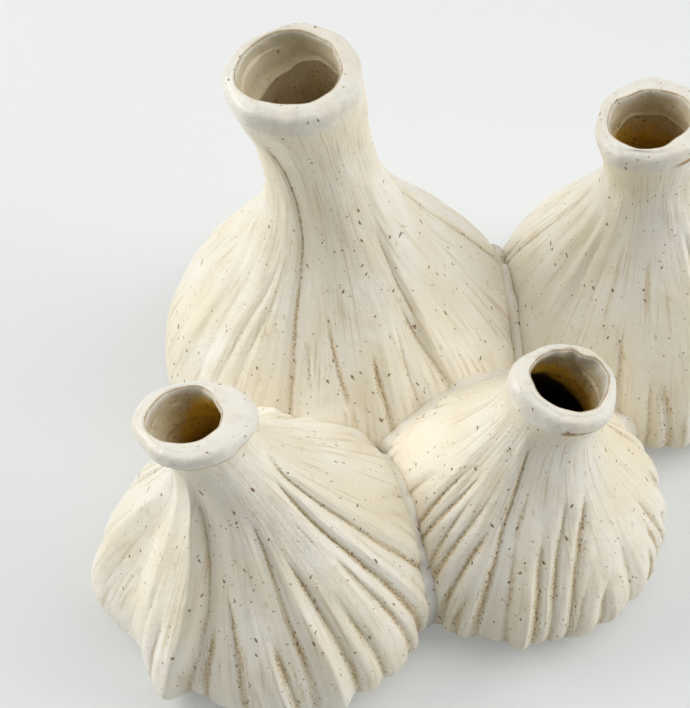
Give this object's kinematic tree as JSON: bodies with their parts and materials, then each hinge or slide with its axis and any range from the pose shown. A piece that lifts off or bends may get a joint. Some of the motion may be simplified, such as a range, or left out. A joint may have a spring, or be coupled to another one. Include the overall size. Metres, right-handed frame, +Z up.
{
  "type": "tulip vase",
  "caption": "Cluster tulip vase of glazed stoneware: pleated garlic-like bulbs pressed together, each a bottle with its own leaning neck and flat coiled lip.",
  "frame": {"origin": "on the standing plane, under the middle of the cluster's box", "axes": "+Z up, +X to the right and +Y to the back as the picture sees it"},
  "size_m": [0.2629, 0.2423, 0.1644],
  "materials": {
    "glazed_clay": "satin gloss cream glaze with brown speckles",
    "lip_glaze": "satin gloss off-white glaze",
    "slip_glaze": "satin grey-white glazed slip"
  },
  "bodies": {
    "root": {"bulb_rear_left": "glazed_clay", "lip_rear_left": "lip_glaze", "bulb_front_left": "glazed_clay", "lip_front_left": "lip_glaze", "bulb_front_right": "glazed_clay", "lip_front_right": "lip_glaze", "bulb_rear_right": "glazed_clay", "lip_rear_right": "lip_glaze", "seam_rear_left_front_right": "slip_glaze", "seam_rear_left_front_left": "slip_glaze", "seam_front_pair": "slip_glaze", "seam_rear_pair": "slip_glaze", "seam_right_pair": "slip_glaze"}
  },
  "joints": []
}
